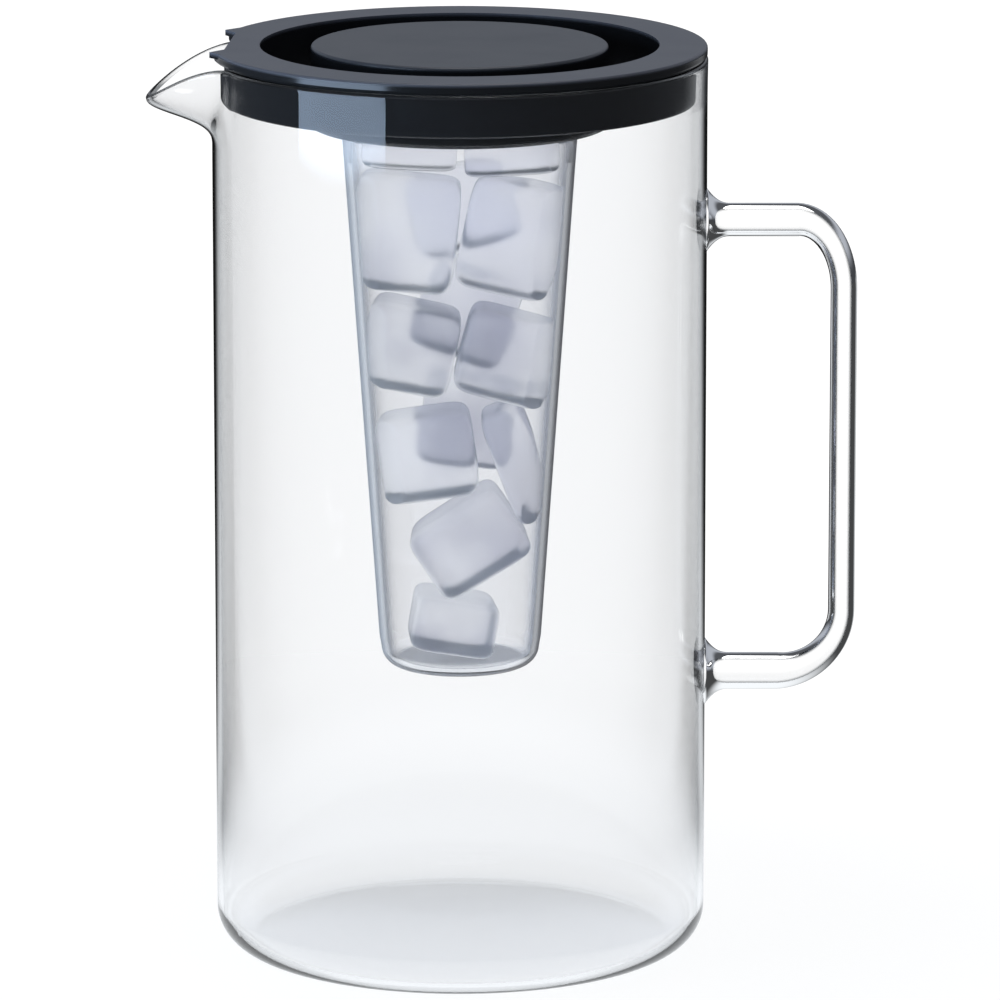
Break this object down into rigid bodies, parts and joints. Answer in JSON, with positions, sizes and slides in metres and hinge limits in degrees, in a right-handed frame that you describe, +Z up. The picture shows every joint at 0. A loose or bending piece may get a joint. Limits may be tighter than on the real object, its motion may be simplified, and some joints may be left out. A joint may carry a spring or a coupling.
{
  "type": "pitcher with ice core",
  "caption": "Tall round glass pitcher with a pulled spout and rod handle, a black lid notched over the spout, and a clear tapered core full of ice cubes, hung from the lid under a round cap.",
  "frame": {"origin": "middle of the jug's flat base, on the surface that it stands on", "axes": "+Z up along the jug's axis, -X towards the spout, +X towards the handle"},
  "size_m": [0.1871, 0.1302, 0.2423],
  "materials": {
    "glass": "clear borosilicate glass, fire-polished rim",
    "glass_rod": "clear solid glass rod",
    "lid_plastic": "black moulded plastic, satin above and smooth below",
    "cap_plastic": "black moulded plastic with a satin top",
    "silicone": "soft translucent silicone",
    "clear_plastic": "clear moulded plastic",
    "ice": "cloudy melting ice cubes"
  },
  "bodies": {
    "jug": {"jug_body": "glass", "jug_handle": "glass_rod"},
    "lid": {"lid_cover": "lid_plastic"},
    "core": {"ice_core": "clear_plastic", "ice_cubes": "ice"},
    "cap": {"core_cap": "cap_plastic", "core_seal": "silicone"}
  },
  "joints": [
    {"name": "lid_lift", "type": "slide", "parent": "jug", "child": "lid", "axis": [0, 0, 1], "range_m": [0, 0.175]},
    {"name": "core_lift", "type": "slide", "parent": "lid", "child": "core", "axis": [0, 0, 1], "range_m": [0, 0.17]},
    {"name": "cap_lift", "type": "slide", "parent": "core", "child": "cap", "axis": [0, 0, 1], "range_m": [0, 0.04]}
  ]
}
